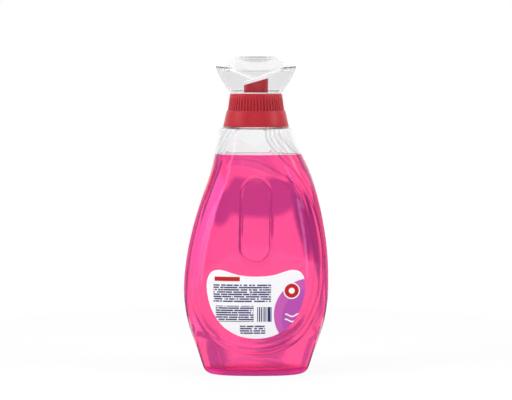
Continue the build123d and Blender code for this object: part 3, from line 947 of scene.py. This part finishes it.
def make_cap_bowl(material):
    rows = bowl_outside_rows()
    outside = np.vstack(rows)
    rows += bowl_inside_rows()
    piece = grid_object("dosing_cap_flared_bowl", rows, wrap=True)
    tips, middle = rim_lines(outside)
    # Painted highlights along the sweeping crests and the middle of the rim.
    lines = np.maximum(sweep_painted_highlight(outside), RIM_PAINTED_HIGHLIGHT * middle)
    lines = np.where(outside[:, 2] > CAP_FOOT + CAP_CORNER, lines, 0)
    painted_highlight = foot_painted_highlight(np.vstack(rows))
    painted_highlight[:len(lines)] = np.maximum(painted_highlight[:len(lines)], lines)
    set_points(piece, "painted_highlight", painted_highlight)
    # Painted shade at the rim's tips.
    set_points(piece, "shade", np.where(outside[:, 2] > LID_SEAT, tips, 0))
    return place(piece, "cap", "cap_plastic", material, "dosing_cap_bowl")


def lid_shade(points):
    """Painted shade, darkest down in the dish, 0 on the ring and the slope."""
    radius = np.hypot(points[:, 0], points[:, 1])
    deep = np.clip((LID_TOP - LID_SHADE_DROP - points[:, 2]) / LID_SHADE_FADE, 0, 1)
    return LID_SHADE * np.where(radius < LID_RING_R[0], deep, 0)


def lid_profile():
    """Radius and height of each row of the lid, from the middle of its underside round to that of its top."""
    edge = bowl_radius(LID_SEAT, CAP_WALL) - LID_EDGE_GAP
    foot = LID_SEAT + CAP_WALL
    ring_inner, ring_outer = LID_RING_R
    across, down = LID_CROWN_EDGE
    slope = smooth_curve([
        (edge, foot), ((edge + ring_outer) / 2, (foot + LID_TOP) / 2 - LID_SAG),
        (ring_outer + across, LID_TOP - down),
    ], False, LID_SLOPE_SPANS)
    sphere = (ring_inner**2 + LID_DISH**2) / (2 * LID_DISH)
    dish_radii = np.linspace(ring_inner - LID_DISH_EDGE, LID_DISH_MIDDLE_R, LID_DISH_ROWS)
    dish_heights = LID_TOP - LID_DISH + sphere - np.sqrt(sphere**2 - dish_radii**2)
    dish = np.stack([dish_radii, dish_heights], -1)
    crown = [(ring_outer - across, LID_TOP), (ring_inner + across, LID_TOP)]
    under_dish = (dish - (0, CAP_WALL))[::-1]
    under_slope = (slope - (CAP_WALL / 2, CAP_WALL))[::-1]
    rim = [(edge - LID_FOOT[0], LID_SEAT + LID_FOOT[0]), (edge, LID_SEAT + LID_FOOT[1])]
    return [*under_dish, *under_slope, *rim, *slope, *crown, *dish]


def make_cap_lid(material):
    rows = circle_rows(lid_profile(), ROUND_TURNS)
    points = np.vstack(rows)
    piece = grid_object("dosing_cap_dished_lid", rows)
    # Painted shade down in the dish.
    set_points(piece, "shade", lid_shade(points))
    # Painted highlight on the lid's slope.
    set_points(piece, "painted_highlight", np.where(np.hypot(points[:, 0], points[:, 1]) > LID_RING_R[1], LID_PAINTED_HIGHLIGHT, 0))
    return place(piece, "cap", "cap_plastic", material, "dosing_cap_lid")


# Materials


class Graph:
    """Short ways to add, set and join shader nodes."""

    def __init__(self, tree):
        self.tree = tree

    def put(self, socket, value):
        if isinstance(value, bpy.types.NodeSocket):
            self.tree.links.new(value, socket)
        else:
            socket.default_value = value

    def set(self, node, **inputs):
        """Sets or joins a node's inputs, with _ for the spaces in their names."""
        for name, value in inputs.items():
            self.put(node.inputs[name.replace("_", " ")], value)
        return node

    def node(self, kind, **inputs):
        return self.set(self.tree.nodes.new("ShaderNode" + kind), **inputs)

    def math(self, operation, *values):
        made = self.node("Math")
        made.operation = operation
        for socket, value in zip(made.inputs, values):
            self.put(socket, value)
        return made.outputs[0]

    def product(self, first, *others):
        for other in others:
            first = self.math("MULTIPLY", first, other)
        return first

    def length(self, across, up):
        """Distance of a point from the middle, by its two coordinates."""
        return self.math("SQRT", self.math("ADD", self.product(across, across), self.product(up, up)))

    def step(self, value, start, end):
        """0 at start and 1 at end, smooth between."""
        made = self.node("MapRange")
        made.interpolation_type = "SMOOTHSTEP"
        self.set(made, Value=value, From_Min=start, From_Max=end)
        return made.outputs["Result"]

    def mix(self, share, first, second):
        """A colour between two, which are sockets 6 and 7 of the node."""
        made = self.node("Mix")
        made.data_type = "RGBA"
        self.set(made, Factor=share)
        self.put(made.inputs[6], first)
        self.put(made.inputs[7], second)
        return made.outputs[2]

    def blend(self, share, first, second):
        """A shader between two."""
        made = self.node("MixShader", Fac=share)
        self.put(made.inputs[1], first.outputs[0])
        self.put(made.inputs[2], second.outputs[0])
        return made

    def show(self, shader):
        self.set(self.tree.nodes["Material Output"], Surface=shader.outputs[0])

    def attribute(self, name):
        """The number that the mesh stores for each point under a name."""
        made = self.node("Attribute")
        made.attribute_name = name
        return made.outputs["Fac"]

    def axes(self, kind="Object"):
        """The x, y and z of the surface's own coordinates."""
        return self.node("SeparateXYZ", Vector=self.node("TexCoord").outputs[kind]).outputs

    def noise(self, scale, detail):
        spot = self.node("TexCoord").outputs["Object"]
        return self.node("TexNoise", Vector=spot, Scale=scale, Detail=detail).outputs["Fac"]

    def bump(self, shader, scale, strength, distance):
        """Fine unevenness of a moulded surface."""
        made = self.node("Bump", Height=self.noise(scale, BUMP_DETAIL), Strength=strength, Distance=distance)
        self.set(shader, Normal=made.outputs["Normal"])


def new_material(name):
    material = bpy.data.materials.new(name)
    material.use_nodes = True
    return material, Graph(material.node_tree), material.node_tree.nodes["Principled BSDF"]


def clear_plastic(name, tint, ior, bump, coat=0.0):
    material, graph, shader = new_material(name)
    graph.set(shader, Base_Color=tint, Transmission_Weight=1.0, Roughness=CLEAR_ROUGHNESS, IOR=ior)
    graph.set(shader, Coat_Weight=coat, Coat_Roughness=COAT_ROUGHNESS)
    graph.bump(shader, *bump)
    return material, graph, shader


def cap_plastic():
    """The cap's clear plastic, with painted white highlights, and painted shade at the rim's tips and in the
    dish.
    """
    material, graph, shader = clear_plastic("clear_cap_plastic", CAP_TINT, CAP_IOR, CAP_BUMP, CAP_COAT)
    # Painted highlights are white and let less light through; painted shade is dark grey.
    painted_highlight = graph.attribute("painted_highlight")
    colour = graph.mix(painted_highlight, CAP_TINT, WHITE)
    colour = graph.mix(graph.attribute("shade"), colour, CAP_PAINTED_SHADE_GREY)
    clear = graph.math("MULTIPLY_ADD", painted_highlight, -PAINTED_HIGHLIGHT_COVER, 1.0)
    graph.set(shader, Base_Color=colour, Transmission_Weight=clear)
    return material


def painted_shade_bottle_plastic():
    """The bottle's plastic, with painted shade along its creases, and at its heel hazy with a painted pink
    shade of the filling.
    """
    material, graph, shader = clear_plastic("clear_bottle_plastic", BOTTLE_TINT, BOTTLE_IOR, BOTTLE_BUMP)
    heel = graph.attribute("heel")
    # Painted shade along the creases.
    colour = graph.mix(graph.attribute("painted_crease_shade"), BOTTLE_TINT, PAINTED_CREASE_GREY)
    # Painted pink shade at the heel, which also lets less light through.
    colour = graph.mix(graph.step(heel, 0.0, HEEL_PAINTED_PINK_FULL), colour, HEEL_PAINTED_PINK)
    graph.set(shader, Base_Color=colour, Transmission_Weight=graph.math("SUBTRACT", 1.0, heel))
    return material


def pink_liquid():
    material, graph, shader = new_material("pink_detergent")
    graph.set(shader, Base_Color=LIQUID_TINT, Transmission_Weight=1.0, Roughness=0.0, IOR=LIQUID_IOR)
    absorb = graph.node("VolumeAbsorption", Color=LIQUID_DEPTH_TINT, Density=LIQUID_DENSITY)
    graph.set(material.node_tree.nodes["Material Output"], Volume=absorb.outputs["Volume"])
    return material


def red_plastic():
    """The collar's plastic, with painted shade down in the grooves of the grip and on the spout."""
    material, graph, shader = new_material("red_moulded_plastic")
    # Painted shade in the grooves and on the spout.
    colour = graph.mix(graph.attribute("groove"), COLLAR_RED, GROOVE_PAINTED_SHADE_RED)
    graph.set(shader, Base_Color=colour, Roughness=COLLAR_ROUGHNESS)
    graph.bump(shader, *COLLAR_BUMP)
    return material


def seal_foam():
    material, graph, shader = new_material("seal_foam")
    graph.set(shader, Base_Color=FOAM_GREY, Roughness=FOAM_ROUGHNESS)
    graph.bump(shader, *FOAM_BUMP)
    return material


class LabelGraph(Graph):
    """Shapes of the label's print, 1 inside and 0 outside, placed by x and z in millimetres."""

    def __init__(self, tree):
        super().__init__(tree)
        x, _, z = self.axes()
        self.x = self.product(x, 1 / MM)
        self.z = self.product(z, 1 / MM)

    def disc(self, middle, radius):
        across = self.math("SUBTRACT", self.x, middle[0])
        up = self.math("SUBTRACT", self.z, middle[1])
        return self.step(self.length(across, up), radius + DISC_EDGE, radius - DISC_EDGE)

    def block(self, low, high):
        sides = []
        for axis, start, end in ((self.x, low[0], high[0]), (self.z, low[1], high[1])):
            sides.append(self.step(axis, start - BLOCK_EDGE, start + BLOCK_EDGE))
            sides.append(self.step(axis, end + BLOCK_EDGE, end - BLOCK_EDGE))
        return self.product(*sides)

    def wave(self, height):
        """A wavy line across the purple field."""
        swing = self.math("SINE", self.product(self.x, WAVE_RATE))
        lift = self.math("SUBTRACT", self.z, height)
        lift = self.math("SUBTRACT", lift, self.product(swing, WAVE_SWING))
        line = self.step(self.math("ABSOLUTE", lift), *WAVE_LINE)
        return self.product(line, self.disc(*WAVE_FIELD))

    def small_print(self, low, high, seed):
        """Rows of broken bars that stand for small print."""
        row = self.math("DIVIDE", self.z, PRINT_PITCH)
        across = self.product(self.x, PRINT_RATE)
        shift = self.product(self.math("FLOOR", row), PRINT_ROW_SHIFT)
        spot = self.node("CombineXYZ", X=across, Y=shift, Z=seed)
        words = self.node("TexNoise", Vector=spot.outputs[0], Scale=1.0, Detail=1.0)
        ink = self.step(words.outputs["Fac"], *PRINT_INK)
        within = self.math("FRACT", row)
        edges = [self.step(within, *edge) for edge in PRINT_ROW_EDGES]
        return self.product(ink, *edges, self.block(low, high))

    def stripes(self, low, high):
        """Upright stripes of uneven width."""
        spot = self.node("CombineXYZ", X=self.x)
        noise = self.node("TexNoise", Vector=spot.outputs[0], Scale=STRIPE_RATE, Detail=0.0)
        return self.product(self.step(noise.outputs["Fac"], *STRIPE_INK), self.block(low, high))


def label_print():
    """A generic print on the label's front, and plain paper on its glued side."""
    material, _, shader = new_material("label_print")
    graph = LabelGraph(material.node_tree)
    layers = [(graph.disc(*FIELD), PURPLE), (graph.disc(*DEEP_FIELD), DEEP_PURPLE)]
    layers += [(graph.wave(height), PAPER) for height in WAVE_HEIGHTS]
    layers += [(graph.disc(RING_MIDDLE, radius), ink) for radius, ink in RING_DISCS]
    layers.append((graph.block(*RED_BAR), LABEL_RED))
    layers += [(graph.small_print(*lines), NAVY) for lines in SMALL_PRINT]
    layers.append((graph.stripes(*STRIPES), NAVY))
    colour = PAPER
    for mask, ink in layers:
        colour = graph.mix(mask, colour, ink)
    normal = graph.node("NewGeometry").outputs["True Normal"]
    glued = graph.step(graph.node("SeparateXYZ", Vector=normal).outputs[1], *GLUED_SIDE)
    graph.set(shader, Base_Color=graph.mix(glued, colour, PAPER), Roughness=LABEL_ROUGHNESS)
    graph.bump(shader, *LABEL_BUMP)
    return material


# Studio


def flat_object(name, corners):
    """A mesh object of one face with four corners."""
    mesh = bpy.data.meshes.new(name)
    mesh.from_pydata(corners, [], [(0, 1, 2, 3)])
    return add_object(name, mesh)


def make_floor():
    """A pale floor, white to the camera and through the bottle, and dim in reflections."""
    floor = flat_object("studio_floor", [(FLOOR_HALF * x, FLOOR_HALF * y, 0) for x, y in SQUARE])
    floor.location.z = -FLOOR_DROP
    material, graph, shader = new_material("pale_floor")
    graph.set(shader, Base_Color=FLOOR_TINT, Roughness=FLOOR_ROUGHNESS, Specular_IOR_Level=FLOOR_SPECULAR)
    path = graph.node("LightPath").outputs
    x, y, _ = graph.axes()
    reach = graph.length(x, y)
    open_floor = graph.math("MAXIMUM", graph.step(reach, *FLOOR_FADE), FLOOR_WHITE)
    seen = graph.product(path["Is Camera Ray"], open_floor)
    away = graph.math("MAXIMUM", graph.step(reach, *FOOT_SHADOW), path["Is Camera Ray"])
    white = graph.node("Emission", Color=graph.mix(away, FOOT_LIGHT, WHITE))
    plain = graph.blend(graph.math("MAXIMUM", seen, path["Is Transmission Ray"]), shader, white)
    dim = graph.node("Emission", Strength=FLOOR_IN_REFLECTIONS)
    mirrored = graph.product(path["Is Glossy Ray"], path["Is Reflection Ray"])
    graph.show(graph.blend(mirrored, plain, dim))
    floor.data.materials.append(material)


def make_world():
    """White behind and above the object, dimmer in front and at the sides, and white to the camera."""
    world = bpy.data.worlds.new("studio")
    bpy.context.scene.world = world
    world.use_nodes = True
    graph = Graph(world.node_tree)
    x, y, z = graph.axes("Generated")
    level = graph.math("MULTIPLY_ADD", graph.step(y, *WORLD_BACK), 1 - WORLD_FRONT, WORLD_FRONT)
    side = graph.step(graph.math("ABSOLUTE", x), *WORLD_SIDES)
    level = graph.product(level, graph.math("MULTIPLY_ADD", side, WORLD_SIDE - 1, 1.0))
    level = graph.math("MAXIMUM", level, graph.step(z, *WORLD_TOP))
    path = graph.node("LightPath").outputs
    mirrored = graph.product(path["Is Glossy Ray"], path["Is Reflection Ray"])
    front = graph.product(graph.step(y, *MIRRORED_FRONT), mirrored)
    level = graph.product(level, graph.math("MULTIPLY_ADD", front, FRONT_IN_REFLECTIONS - 1, 1.0))
    matt = graph.math("MULTIPLY_ADD", path["Is Diffuse Ray"], DIFFUSE_WORLD - 1, 1.0)
    level = graph.math("MAXIMUM", graph.product(level, matt), path["Is Camera Ray"])
    graph.set(world.node_tree.nodes["Background"], Strength=level, Color=WHITE)


def card_reach(graph, half_width, half_height, unevenness):
    """0 in the middle of a card and 1 at its rounded edge, shifted by noise."""
    x, _, z = graph.axes()
    shares = [graph.math("DIVIDE", x, half_width), graph.math("DIVIDE", z, half_height)]
    powers = [graph.math("POWER", graph.math("ABSOLUTE", share), CARD_ROUNDNESS) for share in shares]
    reach = graph.math("SQRT", graph.math("ADD", *powers))
    shift = graph.math("SUBTRACT", graph.noise(CARD_NOISE, CARD_NOISE_DETAIL), 0.5)
    return graph.math("ADD", reach, graph.product(shift, unevenness))


def in_filling(graph):
    """1 for a mirrored view and for one through the filling, 0 for one through empty walls."""
    depth = graph.node("LightPath").outputs["Transmission Depth"]
    mirrored = graph.math("LESS_THAN", depth, 0.5)
    filled = graph.math("GREATER_THAN", depth, EMPTY_WALLS + 0.5)
    return graph.math("MAXIMUM", mirrored, filled)


def make_card(name, middle, facing, size, colour, softness, unevenness=0.0, seen_in=None):
    """A glowing or dark studio card with soft edges, which only reflections and refractions show."""
    half_width, half_height = size[0] / 2, size[1] / 2
    card = flat_object(name, [(half_width * x, 0, half_height * z) for x, z in SQUARE])
    card.location = middle
    card.rotation_euler = Vector(facing).to_track_quat("-Y", "Z").to_euler()
    material, graph, _ = new_material(name)
    share = graph.step(card_reach(graph, half_width, half_height, unevenness), 1.0, 1.0 - softness)
    if seen_in == FILLING:
        share = graph.product(share, in_filling(graph))
    glow = graph.node("Emission", Color=(*colour, 1))
    graph.show(graph.blend(share, graph.node("BsdfTransparent"), glow))
    card.data.materials.append(material)
    card.visible_camera = card.visible_diffuse = card.visible_shadow = False
    card.visible_transmission = seen_in != MIRRORS


def make_lamp(name, place_at, power):
    lamp = bpy.data.lights.new(name, "AREA")
    lamp.shape = "RECTANGLE"
    lamp.size, lamp.size_y = LAMP_SIZE
    lamp.energy = power
    holder = add_object(name, lamp)
    holder.location = place_at
    holder.rotation_euler = (Vector(LAMP_AIM) - Vector(place_at)).to_track_quat("-Z", "Y").to_euler()
    holder.visible_glossy = holder.visible_transmission = False


def make_camera():
    data = bpy.data.cameras.new("camera")
    data.lens = CAMERA_LENS
    camera = add_object("camera", data)
    camera.location = CAMERA_PLACE
    camera.rotation_euler = (Vector(CAMERA_AIM) - camera.location).to_track_quat("-Z", "Y").to_euler()
    bpy.context.scene.camera = camera


def set_look():
    scene = bpy.context.scene
    scene.view_settings.view_transform = "Standard"
    scene.cycles.max_bounces = BOUNCES
    scene.cycles.transmission_bounces = BOUNCES
    scene.cycles.glossy_bounces = GLOSSY_BOUNCES


clear_cap = cap_plastic()
red = red_plastic()
foam = seal_foam()
make_camera()
make_bottle(painted_shade_bottle_plastic())
make_detergent(pink_liquid())
make_label(label_print())
make_collar(red)
for cap_piece in (make_cap_bowl(clear_cap), make_cap_lid(clear_cap)):
    cap_piece.visible_shadow = False
for ring_name in ("neck_seal", "cap_seal"):
    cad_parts[ring_name].data.materials.clear()
    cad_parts[ring_name].data.materials.append(foam)
make_floor()
make_world()
for lamp in LAMPS:
    make_lamp(*lamp)
for card in CARDS:
    make_card(*card)
set_look()
